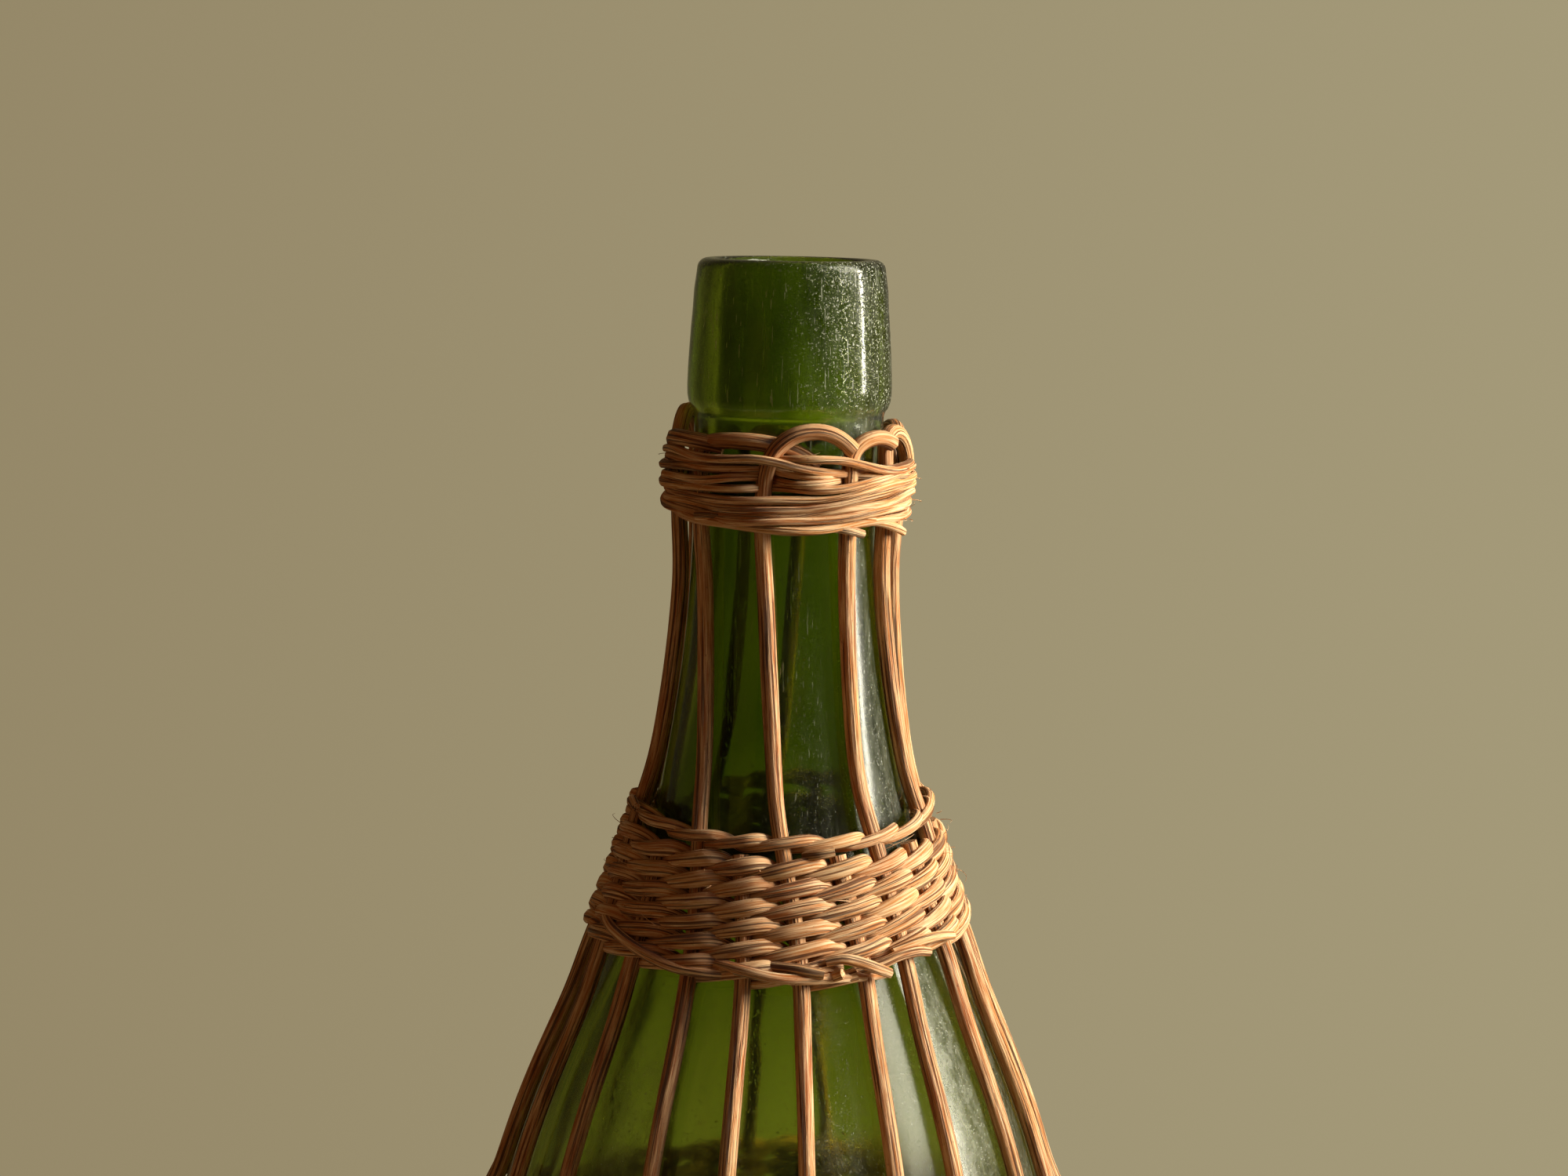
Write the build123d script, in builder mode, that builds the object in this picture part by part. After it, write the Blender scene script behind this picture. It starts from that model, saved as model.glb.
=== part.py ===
from build123d import *
import os
from math import acos, ceil, cos, hypot, pi, radians, sin

os.makedirs("parts", exist_ok=True)

# A round-bellied wine flask of green glass in a wicker coat. Sizes are in millimetres and angles in
# degrees. The origin is on the ground under the middle of the flask, +Z points out of the mouth, and -Y is
# the front. A depth is measured down from the mouth.

# The glass: a collar, a neck and a belly
wall = 2.6
bore_radius = 11.3
bore_depth = 20.0
bore_ease = 8.0
lip_round = 1.2
lip_thickness = 3.7
collar_step = 1.2
collar_depth = 23.8
collar_round = 1.1
neck_radius = 15.0
rest_radius = 12.0
push_up = 3.0
push_up_share = 0.75
outer_sag = 0.2
inner_sag = 0.3
round_flats = 2

# The stretches of the wall below the neck, each with its height and how far the wall leans off upright at
# its lower end. A positive lean widens downwards.
neck_depth = 40.0
throat_drop, throat_lean = 43.4, 12.0
shoulder_drop, shoulder_lean = 26.6, 24.7
haunch_drop, haunch_lean = 18.0, 23.0
flank_drop, flank_lean = 20.0, 15.5
belly_drop = 29.0
underbelly_drop, underbelly_lean = 30.0, -13.0
heel_drop, heel_lean = 23.0, -40.0

# The canes: ten of them cross under the flask, five over five, and their twenty ends stand up round it as
# stakes. Every second end is long and arches over under the collar. The others stop on top of the shoulder
# band.
stakes = 20
layer_canes = 5
cane_thickness = 2.6
cane_sides = 5
front_stake_angle = -83.3
neck_turn_angle = -17.0
arch_rise = 3.1
arch_span_share = 0.75
arch_points = 5
arch_end_share = 0.9
tip_length = 1.7

# The bands of weavers: how far the first row lies below the collar, the throat and the flank, or the last
# one past the foot, the pitch of the rows, their number, and the thickness
weaver_sides = 4
neck_band_gap, neck_row, neck_rows, neck_weaver = 5.8, 2.0, 7, 1.4
band_gap, band_row, band_rows, band_weaver = 5.4, 3.06, 7, 1.5
basket_gap, basket_row, basket_rows, basket_weaver = 8.0, 4.9, 16, 2.0
base_overhang, base_row, base_rows, base_weaver = 0.5, 2.5, 4, 1.4

# A weaver slants past each stake, so it swings out by more than the two half thicknesses.
swing_share = 1.23
base_swing_share = 1.3
clearance = 0.15
seat = 0.3
ease = 4.5

# How many straight lengths a cane has along each stretch
edge_steps = 1
neck_steps = 2
band_steps = 2
side_steps = 3
basket_steps = 7

# The corner where the canes turn in under the flask, and the foot, a rope of two strands under it
corner_gap = 1.6
corner_rise = 5.0
corner_set_back = 1.5
fan_radius = 15.5
fan_reach = 9.0
foot_set_back = 3.0
foot_strand = 1.8
foot_twists = 8
foot_steps = 6
foot_gap_share = 0.2
foot_cut = 0.18
foot_slack = 1.25


def wall_arcs(bends):
    """The wall as tangent arcs: depth and radius at the top, the two leans, and the bend's radius."""
    radius, arcs = neck_radius, []
    for (top, lean), (bottom, next_lean) in zip(bends, bends[1:]):
        a, b = radians(lean), radians(next_lean)
        bend = (bottom - top) / (sin(b) - sin(a))
        arcs.append((top, radius, a, b, bend))
        radius += bend * (cos(a) - cos(b))
    return arcs, radius


def wall_point(arc, share, inset=0.0):
    """Radius and depth of the wall part of the way down one arc, or of its inner face."""
    top, radius, a, b, bend = arc
    lean = a + (b - a) * share
    r = radius + bend * (cos(a) - cos(lean))
    return r - inset * cos(lean), top + bend * (sin(lean) - sin(a)) + inset * sin(lean)


throat_depth = neck_depth + throat_drop
shoulder_depth = throat_depth + shoulder_drop
haunch_depth = shoulder_depth + haunch_drop
flank_depth = haunch_depth + flank_drop
belly_depth = flank_depth + belly_drop
underbelly_depth = belly_depth + underbelly_drop
heel_depth = underbelly_depth + heel_drop
side_bends = [
    (neck_depth, 0.0),
    (throat_depth, throat_lean),
    (shoulder_depth, shoulder_lean),
    (haunch_depth, haunch_lean),
    (flank_depth, flank_lean),
    (belly_depth, 0.0),
    (underbelly_depth, underbelly_lean),
    (heel_depth, heel_lean),
]
_, heel_radius = wall_arcs(side_bends)
heel_bend = (heel_radius - rest_radius) / cos(radians(heel_lean))
glass_depth = heel_depth + heel_bend * (1 + sin(radians(heel_lean)))
arcs, _ = wall_arcs(side_bends + [(glass_depth, -90.0)])

# The heights of the foot, the woven base and the whole flask
foot_swing = foot_slack * foot_strand / 2
foot_level = foot_swing + foot_strand / 2 * cos(pi / weaver_sides) - foot_cut
foot_top = foot_level + foot_swing + foot_strand / 2
base_swing = base_swing_share * (cane_thickness + base_weaver) / 2
base_level = foot_top + seat + base_weaver / 2 + base_swing
layer_gap = cane_thickness + clearance
height = base_level + layer_gap / 2 + cane_thickness / 2 + clearance + glass_depth


def glass_radius(depth):
    """Outer radius of the glass and the sine of its lean at a depth."""
    for top, radius, a, b, bend in arcs:
        lean_sine = sin(a) + (depth - top) / bend
        if min(sin(a), sin(b)) <= lean_sine <= max(sin(a), sin(b)) and depth >= top:
            return radius + bend * (cos(a) - (1 - lean_sine**2) ** 0.5), lean_sine
    return neck_radius, 0.0


def wall_outline(inset, sag):
    """The wall's section from the neck to the rest ring, in flats that stay within sag of its arcs."""
    outline = [wall_point(arcs[0], 0, inset)]
    for arc in arcs:
        _, _, a, b, bend = arc
        flats = ceil(abs(b - a) / (2 * acos(1 - sag / abs(bend))))
        outline += [wall_point(arc, flat / flats, inset) for flat in range(1, flats + 1)]
    return [(radius, height - depth) for radius, depth in outline]


def beside_glass(depth, gap):
    """Radius of something that stands the gap off the glass, measured square to the wall."""
    radius, lean_sine = glass_radius(depth)
    return radius + gap / (1 - lean_sine**2) ** 0.5


# The line that every stake follows, as depth and radius from the neck to the corner of the base: it hugs
# the glass, and stands off it in the bands, where weavers pass behind it.
def swing(thickness):
    return swing_share * (cane_thickness + thickness) / 2


hug = cane_thickness / 2 + seat
neck_band_depth = collar_depth + neck_band_gap
band_depth = throat_depth + band_gap
basket_depth = flank_depth + basket_gap
neck_end = neck_band_depth + neck_row * (neck_rows - 1)
band_end = band_depth + band_row * (band_rows - 1)
corner_depth = height - base_level - corner_rise
corner_radius = heel_radius + corner_gap
foot_radius = corner_radius - foot_set_back
base_start = foot_radius + base_overhang - base_row * base_rows
rim = cane_thickness / 2
stretches = [
    (neck_band_depth - rim, neck_end + rim, neck_weaver, edge_steps),
    (neck_end + rim + ease, band_depth - rim - ease, None, neck_steps),
    (band_depth - rim, band_end + rim, band_weaver, band_steps),
    (band_end + rim + ease, basket_depth - rim - ease, None, side_steps),
    (basket_depth - rim, (underbelly_depth + heel_depth) / 2, basket_weaver, basket_steps),
]
stake_line = []
for start, end, weaver, steps in stretches:
    gap = hug if weaver is None else swing(weaver) + weaver / 2 + seat
    for step in range(steps + 1):
        depth = start + (end - start) * step / steps
        stake_line.append((depth, beside_glass(depth, gap)))
stake_line.append((corner_depth, corner_radius))


def turn_at(depth):
    """How far the stakes have turned about the flask at a depth: the neck's end of the coat is twisted."""
    return neck_turn_angle * min(1.0, max(0.0, (band_end - depth) / (band_end - neck_end)))


def on_coat(angle, depth, out=0.0, down=0.0):
    """A point of the coat, at an angle about the flask, out from the stakes' line or down along it."""
    for (top, r0), (bottom, r1) in zip(stake_line, stake_line[1:]):
        if depth <= bottom:
            break
    run = hypot(bottom - top, r1 - r0)
    fall, flare = (bottom - top) / run, (r1 - r0) / run
    radius = r0 + (r1 - r0) * (depth - top) / (bottom - top) + out * fall + down * flare
    turned = radians(angle + turn_at(depth))
    z = height - depth + out * flare - down * fall
    return radius * cos(turned), radius * sin(turned), z


def stake_angle(number):
    return front_stake_angle + number * 360.0 / stakes


def stake(number, long):
    """The route of one end of a cane, from the corner of the base up."""
    angle = stake_angle(number)
    top = neck_band_depth - rim if long else band_depth
    route = [on_coat(angle, depth) for depth, _ in reversed(stake_line) if depth >= top]
    if not long:
        return route + [on_coat(angle, band_depth - band_weaver / 2 - tip_length)]
    for point in range(1, arch_points + 1):
        share = arch_end_share * point / arch_points
        reach = share * arch_span_share * 720.0 / stakes
        radius = hypot(*route[-1][:2])
        turned = radians(angle + turn_at(top) + reach)
        z = height - top + arch_rise * sin(pi * share)
        route.append((radius * cos(turned), radius * sin(turned), z))
    return route


def crossing(lane, side, end):
    """One end of a cane under the flask, from the corner of the base in to where the two layers cross."""
    number = side * (stakes // 4) + (lane if end > 0 else stakes // 2 - lane)
    angle = radians(stake_angle(number))
    middle = radians(stake_angle(side * (stakes // 4)))
    level = base_level + (side - 0.5) * layer_gap
    along, across = end * fan_reach, lane * layer_gap
    turns = (corner_radius - corner_set_back, fan_radius)
    route = [(radius * cos(angle), radius * sin(angle), base_level) for radius in turns]
    x = along * cos(middle) - across * sin(middle)
    y = along * sin(middle) + across * cos(middle)
    return number, route + [(x, y, level)]


def weaver_route(depth, row, rows, swing_out, dip, phase, steps, spacing):
    """A weaver that goes round and down, out round one stake and in behind the next."""
    route = []
    for step in range(round(rows * 360.0 / spacing) * steps + 1):
        share = step / steps
        here = depth + row * share * spacing / 360.0
        angle = front_stake_angle + share * spacing
        out = swing_out * cos(pi * share + phase)
        route.append(on_coat(angle, here, out, -dip * sin(pi * share + phase)))
    return route


routes = {}
for side in (0, 1):
    for lane in range(-(layer_canes // 2), layer_canes // 2 + 1):
        near, under_near = crossing(lane, side, 1)
        far, under_far = crossing(lane, side, -1)
        is_long = near % 2 == 0
        kind = "long" if is_long else "short"
        count = 1 + sum(name.startswith(kind) for name in routes)
        up, down = stake(far, is_long), stake(near, is_long)
        path = down[::-1] + under_near + under_far[::-1] + up
        routes[f"{kind}_cane_{count}"] = (path, cane_thickness, cane_sides)

long_spacing = 720.0 / stakes
short_spacing = 360.0 / stakes
for letter, offset, phase in (("a", 0, 0.0), ("b", 1, pi)):
    neck_path = weaver_route(
        neck_band_depth + offset * neck_row,
        2 * neck_row, (neck_rows - 1) / 2, swing(neck_weaver), 0.0, phase, 2, long_spacing,
    )
    band_path = weaver_route(
        band_depth, band_row, band_rows - 1, swing(band_weaver), band_row / 4, phase, 2, short_spacing,
    )
    basket_path = weaver_route(
        basket_depth + offset * basket_row,
        2 * basket_row, (basket_rows - 1) / 2, swing(basket_weaver), 0.0, phase, 1, short_spacing,
    )
    routes[f"neck_weaver_{letter}"] = (neck_path, neck_weaver, weaver_sides)
    routes[f"shoulder_weaver_{letter}"] = (band_path, band_weaver, weaver_sides)
    routes[f"basket_weaver_{letter}"] = (basket_path, basket_weaver, weaver_sides)

    base_path = []
    for step in range(stakes * (base_rows - 1) // 2 + 1):
        radius = base_start + base_row * (offset + 2 * step / stakes)
        turned = radians(stake_angle(step))
        z = base_level + base_swing * cos(pi * step + phase)
        base_path.append((radius * cos(turned), radius * sin(turned), z))
    routes[f"base_weaver_{letter}"] = (base_path, base_weaver, weaver_sides)

    foot_path = []
    last = foot_twists * foot_steps
    for step in range(last + 1):
        twist = 2 * pi * step / foot_steps + pi / 2 + phase
        turned = 2 * pi * min(step, last - foot_gap_share) / last
        radius = foot_radius + foot_swing * cos(twist)
        z = foot_level + foot_swing * sin(twist)
        foot_path.append((radius * cos(turned), radius * sin(turned), z))
    routes[f"foot_strand_{letter}"] = (foot_path, foot_strand, weaver_sides)

for name, (path, thickness, sides) in routes.items():
    with BuildPart() as strand:
        with BuildLine() as line:
            Polyline(*path)
        with BuildSketch(Plane(origin=line.line @ 0, z_dir=line.line % 0)):
            RegularPolygon(thickness / 2, sides)
        sweep(transition=Transition.RIGHT)
        if name.startswith("foot"):
            split(bisect_by=Plane.XY, keep=Keep.TOP)
    strand.part.label = name
    export_step(strand.part, f"parts/{name}.step")


def rounded(radius, level, size, start):
    """A quarter of a rounded edge, clockwise from the start angle, in flats."""
    turns = [radians(start - 90.0 * flat / round_flats) for flat in range(round_flats + 1)]
    return [(radius + size * cos(turn), level + size * sin(turn)) for turn in turns]


# The glass, turned from one outline of its wall
outside = wall_outline(0.0, outer_sag)
inside = wall_outline(wall, inner_sag)
rest_level, floor_level = outside[-1][1], inside[-1][1]
lip_level = height - lip_round
collar_level = height - collar_depth + collar_round
with BuildPart() as glass_bottle:
    with BuildSketch(Plane.XZ):
        with BuildLine():
            Polyline(
                (bore_radius, height - bore_depth),
                *rounded(bore_radius + lip_round, lip_level, lip_round, 180.0),
                *rounded(bore_radius + lip_thickness - lip_round, lip_level, lip_round, 90.0),
                *rounded(neck_radius + collar_step - collar_round, collar_level, collar_round, 0.0),
                (neck_radius, height - collar_depth),
                *outside,
                (rest_radius / 2, rest_level + push_up * push_up_share),
                (0, rest_level + push_up),
                (0, floor_level + push_up),
                (rest_radius / 2, floor_level + push_up * push_up_share),
                *inside[::-1],
                (neck_radius - wall, height - bore_depth - bore_ease),
                close=True,
            )
        make_face()
    revolve(axis=Axis.Z)
glass_bottle.part.label = "glass_bottle"
export_step(glass_bottle.part, "parts/glass_bottle.step")
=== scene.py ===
import random
from itertools import count
from math import ceil, cos, pi, radians, sin, sqrt

import bmesh
import bpy
from mathutils import Matrix, Vector


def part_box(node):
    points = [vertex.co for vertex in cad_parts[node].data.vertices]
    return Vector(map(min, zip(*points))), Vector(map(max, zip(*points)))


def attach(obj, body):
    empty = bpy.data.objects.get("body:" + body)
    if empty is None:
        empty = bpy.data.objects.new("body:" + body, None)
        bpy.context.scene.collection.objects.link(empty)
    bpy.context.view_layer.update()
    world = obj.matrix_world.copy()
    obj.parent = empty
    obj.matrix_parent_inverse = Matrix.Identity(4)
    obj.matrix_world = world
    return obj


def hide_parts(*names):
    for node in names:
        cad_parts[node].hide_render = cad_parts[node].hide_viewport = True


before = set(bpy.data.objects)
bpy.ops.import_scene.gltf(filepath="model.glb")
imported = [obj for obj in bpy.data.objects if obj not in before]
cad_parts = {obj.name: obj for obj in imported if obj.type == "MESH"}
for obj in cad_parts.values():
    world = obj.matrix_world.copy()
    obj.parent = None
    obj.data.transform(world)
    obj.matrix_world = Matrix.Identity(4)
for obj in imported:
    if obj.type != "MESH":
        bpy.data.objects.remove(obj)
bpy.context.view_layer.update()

# A round-bellied wine flask of green glass in a wicker coat. Its sizes are in millimetres and become metres where its
# meshes are made, and the room round it is in metres. A depth is measured down from the mouth, and an angle about the
# flask is in degrees, 0 at the front and growing to the right.
MM = 0.001
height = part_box("glass_bottle")[1].z / MM

# The glass
wall = 2.6
bore_radius = 11.3
bore_end, bore_opened = 12.0, 40.0     # the bore is even down to the first depth, and has opened out by the next
lip_radius = 14.9
lip_round = 1.3
outer_lip_round = lip_round * 1.3
neck_radius = 15.0
rest_radius = 12.0
push_up = 3.0
# Where the wall changes its bend, as depth and lean in degrees
wall_bends = [(40.0, 0.0), (83.4, 12.0), (110.0, 24.7), (128.0, 23.0), (148.0, 15.5), (177.0, 0.0), (207.0, -13.0),
              (230.0, -40.0)]
# The collar's side, as radius and depth
collar_side = [(14.98, 2.4), (15.32, 4.9), (15.5, 8.0), (15.75, 11.1), (15.95, 14.2), (16.12, 17.3), (16.2, 20.0),
               (16.16, 21.4), (15.98, 22.5), (15.65, 23.3), (15.28, 23.8), (15.05, 24.4), (15.0, 25.2)]
collar_foot = 23.4
arc_steps, bore_steps, turn_steps = 9, 10, 120     # points on an arc of the wall, where the bore opens, and round it

# The canes. Under the flask they lie in two layers, spread out at the corner and close together in the middle.
stakes = 20
stake_step = 360.0 / stakes
stake_zero = 6.7
layer_canes = 5
cane_thickness = 2.6
base_level = 7.2
layer_gap = 2.75
corner_radius = 34.0
corner_rise, corner_inset = 5.0, 1.5
corner_depth = 222.0
fan_radius = 15.5
fan_reach = 9.0
cane_pitch, stake_pitch = 1.5, 2.0     # the spacing of points along a whole cane and along a stake
arch_depth, arch_pitch = 30.4, 1.2
arch_rise, arch_rise_spread = 3.4, (-0.9, 1.2)
arch_out, arch_climb = 0.2, 1.6        # how far out an arch starts, and how much further it ends
cane_wave, cane_swell = 45.0, 0.035
short_tip, short_tip_sway = 1.9, 1.4   # how far down in the shoulder band the short canes end

# The bands of weavers, from the top down, and how much further the stakes stand off the glass in each, which they
# start to do a lead above it
neck_band, neck_lift = (29.6, 41.0), 0.75
shoulder_band, shoulder_lift = (88.5, 109.5), 0.95
basket_band, basket_lift = (156.5, 229.5), 2.55
band_lead = 9.0
seat_gap = 0.15
weave_reach = 4                        # about how far off the glass the weavers lie

# How far the neck's end of the coat is twisted, in degrees, by depth
twists = [(30.0, -16.0), (41.6, -17.0), (84.0, -7.3), (92.0, -3.6), (101.0, -1.0), (110.0, 0.0), (300.0, 0.0)]
# How far the long stakes have strayed from even spacing, in degrees, at the neck, above the shoulder band and on the
# belly, and the depths between which one of these passes into the next. The short ones stray by chance.
long_strays = {0: (-2.7, -1.9, 0.0), 2: (7.3, 0.1, -1.7), 4: (0.0, 1.0, -0.7), 6: (-7.7, -2.0, 0.5),
               8: (-4.0, 1.0, 1.0), 10: (2.0, 2.5, -1.0), 12: (3.0, -2.0, 0.0), 14: (-3.0, 1.5, 1.2),
               16: (-7.7, -11.4, -2.7), 18: (-5.7, 0.7, 2.3)}
neck_to_shoulder, shoulder_to_belly = (41.0, 86.0), (88.0, 112.0)
chance_stray = 1.6

# Mesh work
weld = 1e-6
crease = radians(60)
wave_count, wave_spread, wave_size = 4, (0.7, 1.6), 2.4
neck_degree = 0.33                     # millimetres in a degree round the neck
shortest = 0.05
grain_step = 137.0                     # how far apart two strands lie in the grain, so that no two look alike
strand_numbers = count(1)


def wall_arcs(bends):
    """The wall as tangent arcs, and the radius they end at. An arc is its depth and radius at the top, the lean at
    both ends, and the bend's radius."""
    radius, arcs = neck_radius, []
    for (top, lean), (bottom, next_lean) in zip(bends, bends[1:]):
        a, b = radians(lean), radians(next_lean)
        bend = (bottom - top) / (sin(b) - sin(a))
        arcs.append((top, radius, a, b, bend))
        radius += bend * (cos(a) - cos(b))
    return arcs, radius


_, heel_radius = wall_arcs(wall_bends)
heel_depth, heel_lean = wall_bends[-1][0], radians(wall_bends[-1][1])
glass_depth = heel_depth + (heel_radius - rest_radius) / cos(heel_lean) * (1 + sin(heel_lean))
arcs, _ = wall_arcs(wall_bends + [(glass_depth, -90.0)])


def glass_at(depth):
    """Outer radius of the glass and the sine of its lean at a depth."""
    for top, radius, a, b, bend in arcs:
        lean_sine = sin(a) + (depth - top) / bend
        if depth >= top and min(sin(a), sin(b)) <= lean_sine <= max(sin(a), sin(b)):
            return radius + bend * (cos(a) - sqrt(1 - lean_sine**2)), lean_sine
    return neck_radius, 0.0


def ease(low, high, value):
    """Rises smoothly from 0 at low to 1 at high."""
    share = min(1.0, max(0.0, (value - low) / (high - low)))
    return share * share * (3 - 2 * share)


def in_band(band, depth):
    """1 in a band of weavers and 0 well above and below it."""
    top, bottom = band
    return ease(top - band_lead, top + 1.0, depth) * (1 - ease(bottom - 1.0, bottom + band_lead, depth))


def value_at(keys, at):
    """The value at a place, in straight lines between keys of place and value."""
    for (low, a), (high, b) in zip(keys, keys[1:]):
        if at <= high:
            break
    return a + (b - a) * max(0.0, at - low) / (high - low)


def curved(a, b, slope_a, slope_b, t):
    """A share of the way along a smooth curve from a to b."""
    return (a * (2 * t**3 - 3 * t**2 + 1) + slope_a * (t**3 - 2 * t**2 + t)
            + b * (3 * t**2 - 2 * t**3) + slope_b * (t**3 - t**2))


class Wobble:
    """A smooth random wander of about unit size along a length."""

    def __init__(self, seed, pitch):
        rng = random.Random(seed)
        self.waves = [(rng.uniform(*wave_spread) * 2 * pi / pitch, rng.uniform(0, 2 * pi)) for _ in range(wave_count)]

    def __call__(self, along):
        return sum(sin(rate * along + phase) for rate, phase in self.waves) / wave_size


def flowing(keys, pitch):
    """A smooth run through key places of angle, depth and distance out, with about so many millimetres between
    points."""
    spots = [Vector(key) for key in keys]
    lengths = [max(shortest, Vector((neck_degree * (b[0] - a[0]), *(b - a)[1:])).length)
               for a, b in zip(spots, spots[1:])]
    rates = [(b - a) / length for a, b, length in zip(spots, spots[1:], lengths)]
    slopes = [(before * after_length + after * length) / (after_length + length)
              for before, after, length, after_length in zip(rates, rates[1:], lengths, lengths[1:])]
    slopes = [rates[0]] + slopes + [rates[-1]]
    run = [tuple(spots[0])]
    for n, length in enumerate(lengths):
        cuts = max(1, ceil(length / pitch))
        run += [tuple(curved(spots[n], spots[n + 1], slopes[n] * length, slopes[n + 1] * length, cut / cuts))
                for cut in range(1, cuts + 1)]
    return run


# The stakes
rng = random.Random(11)
strays = [long_strays.get(number) or tuple(rng.uniform(-chance_stray, chance_stray) for _ in range(3))
          for number in range(stakes)]


def post_angle(number, depth):
    """Angle of a stake at a depth: the neck's end of the coat is twisted, and no stake is quite straight."""
    neck, above, belly = strays[number % stakes]
    low = ease(*shoulder_to_belly, depth)
    high = 1 - ease(*neck_to_shoulder, depth)
    strayed = neck * high + above * (1 - high) * (1 - low) + belly * low
    return stake_zero + number * stake_step + value_at(twists, depth) + strayed


def between_posts(post, depth):
    """Angle of a place between two stakes, where the whole numbers are stakes."""
    first = int(post // 1)
    return post_angle(first, depth) * (first + 1 - post) + post_angle(first + 1, depth) * (post - first)


def stand_off(depth):
    """How far the middle of a stake stands off the glass."""
    gap = cane_thickness / 2 + seat_gap
    gap += in_band(neck_band, depth) * neck_lift
    gap += in_band(shoulder_band, depth) * shoulder_lift
    return gap + ease(basket_band[0] - band_lead, basket_band[0] + 2, depth) * basket_lift


def on_ring(angle, radius, level):
    """A point at an angle about the flask, so far from its middle line and so high."""
    turned = radians(angle - 90)
    return Vector((radius * cos(turned), radius * sin(turned), level))


def on_coat(angle, depth, out=0.0, down=0.0):
    """A point of the coat, out from the stakes' line or down along it."""
    radius, lean_sine = glass_at(depth)
    lean_cosine = sqrt(1 - lean_sine**2)
    gap = stand_off(depth) + out
    return on_ring(angle, radius + gap * lean_cosine + down * lean_sine,
                   height - depth + gap * lean_sine - down * lean_cosine)


# Making pieces
def shown_piece(name, shape, *finishes):
    """A piece in the scene from its finished shape and its materials."""
    mesh = bpy.data.meshes.new(name)
    shape.to_mesh(mesh)
    shape.free()
    for finish in finishes:
        mesh.materials.append(finish)
    piece = bpy.data.objects.new(name, mesh)
    bpy.context.collection.objects.link(piece)
    return piece


def finished(piece, slot, *nodes):
    """Gives a piece its body and hides the solids that it replaces. Its slot is not used."""
    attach(piece, "root")
    if nodes:
        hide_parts(*nodes)


def section_of(width, thick, sides, ridges, ridge, seed):
    """The cross-section of a split cane: an oval with shallow ridges."""
    rng = random.Random(seed)
    start = rng.uniform(0, 2 * pi)
    section = []
    for side in range(sides):
        turn = 2 * pi * side / sides
        size = 1 + ridge * cos(ridges * turn + start) + rng.uniform(-ridge, ridge) / 2
        section.append((thick / 2 * cos(turn) * size, width / 2 * sin(turn) * size))
    return section


def drawn(name, dimensions, points):
    """A curve of straight lengths through points in metres, and its object."""
    curve = bpy.data.curves.new(name, "CURVE")
    curve.dimensions = dimensions
    spline = curve.splines.new("POLY")
    spline.points.add(len(points) - 1)
    for spot, point in zip(spline.points, points):
        spot.co = (*point, 1)
    curve_object = bpy.data.objects.new(name, curve)
    bpy.context.collection.objects.link(curve_object)
    return curve, curve_object


def strand_mesh(path, section, twist="Z_UP", tilts=None, sizes=None):
    """A strand swept along a path, with its straightened-out place kept in each point for the grain."""
    ring, ring_object = drawn("section", "2D", [(x * MM, y * MM, 0) for x, y in section])
    ring.splines[0].use_cyclic_u = True
    line, line_object = drawn("line", "3D", [place * MM for place in path])
    line.twist_mode = twist
    line.bevel_mode = "OBJECT"
    line.bevel_object = ring_object
    line.use_fill_caps = True
    line.resolution_u = 1
    for n, point in enumerate(line.splines[0].points):
        point.tilt = tilts[n] if tilts else 0.0
        point.radius = sizes[n] if sizes else 1.0
    mesh = bpy.data.meshes.new_from_object(line_object.evaluated_get(bpy.context.evaluated_depsgraph_get()))
    lengths = [0.0]
    for a, b in zip(path, path[1:]):
        lengths.append(lengths[-1] + (b - a).length)
    # The mesh has the cap at the far end first, then the one at the near end, then the rings of the strand
    lengths = [lengths[-1], 0.0] + lengths
    start = grain_step * next(strand_numbers)
    grain = mesh.attributes.new("grain", "FLOAT_VECTOR", "POINT")
    for n, item in enumerate(grain.data):
        item.vector = (*section[n % len(section)], lengths[n // len(section)] + start)
    for used in (line_object, ring_object):
        bpy.data.objects.remove(used)
    return mesh


def strand_piece(name, meshes, finish):
    """One piece from the meshes of its strands, closed and facing outwards, with pale cut ends."""
    shape = bmesh.new()
    for mesh in meshes:
        shape.from_mesh(mesh)
        bpy.data.meshes.remove(mesh)
    bmesh.ops.remove_doubles(shape, verts=shape.verts, dist=weld)
    bmesh.ops.recalc_face_normals(shape, faces=shape.faces)
    for face in shape.faces:
        face.smooth = True
        face.material_index = int(len(face.verts) > 4)
    for edge in shape.edges:
        if len(edge.link_faces) == 2 and edge.calc_face_angle(0.0) > crease:
            edge.smooth = False
    return shown_piece(name, shape, finish, cut_cane)


def spaced(path, pitch):
    """A path cut into even short lengths."""
    points = [path[0]]
    for a, b in zip(path, path[1:]):
        cuts = max(1, round((b - a).length / pitch))
        points += [a.lerp(b, cut / cuts) for cut in range(1, cuts + 1)]
    return points


def worn_round(points, passes):
    """A path with its corners smoothed and its ends where they were."""
    for _ in range(passes):
        middle = [(a + b * 2 + c) / 4 for a, b, c in zip(points, points[1:], points[2:])]
        points = [points[0]] + middle + [points[-1]]
    return points


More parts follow.
